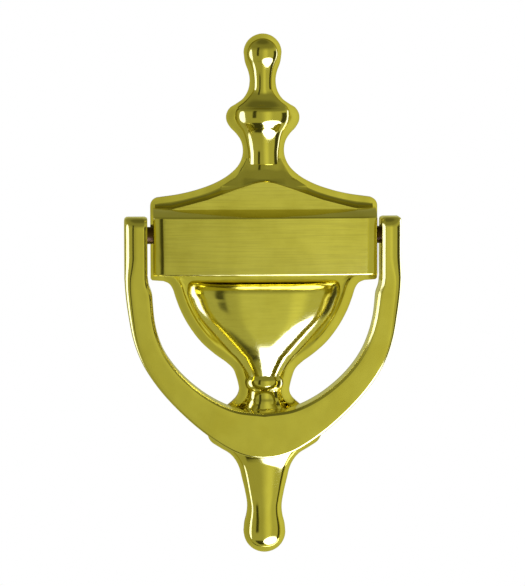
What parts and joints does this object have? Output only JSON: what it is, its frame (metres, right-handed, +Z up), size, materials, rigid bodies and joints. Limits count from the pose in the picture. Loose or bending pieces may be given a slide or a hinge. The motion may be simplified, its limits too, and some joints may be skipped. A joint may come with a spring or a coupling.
{
  "type": "door knocker",
  "caption": "Urn-pattern door knocker: cast backplate with ball finial, block and half-urn, and a stirrup bail that swings on two hinge pins.",
  "frame": {"origin": "on the upright centre line, in the door's face, midway between the two fixing studs", "axes": "+Z up, the front faces -Y, +Y into the door, +X to the viewer's right when looking at the front"},
  "size_m": [0.0968, 0.0744, 0.184],
  "materials": {
    "polished_brass": "polished cast brass, with the block and gable facet brushed",
    "turned_brass": "turned, not polished",
    "pin_steel": "darkened steel, oiled",
    "fixing_brass": "machined brass"
  },
  "bodies": {
    "plate": {"urn_backplate": "polished_brass", "left_hinge_pin": "pin_steel", "right_hinge_pin": "pin_steel", "upper_fixing_stud": "fixing_brass", "lower_fixing_stud": "fixing_brass", "upper_fixing_washer": "fixing_brass", "lower_fixing_washer": "fixing_brass", "upper_dome_nut": "fixing_brass", "lower_dome_nut": "fixing_brass"},
    "bail": {"knocker_bail": "polished_brass", "strike_button": "turned_brass"}
  },
  "joints": [
    {"name": "bail_swing", "type": "hinge", "parent": "plate", "child": "bail", "pos_m": [0, -0.011, 0.0265], "axis": [-1, 0, 0], "range_deg": [0, 172]}
  ]
}
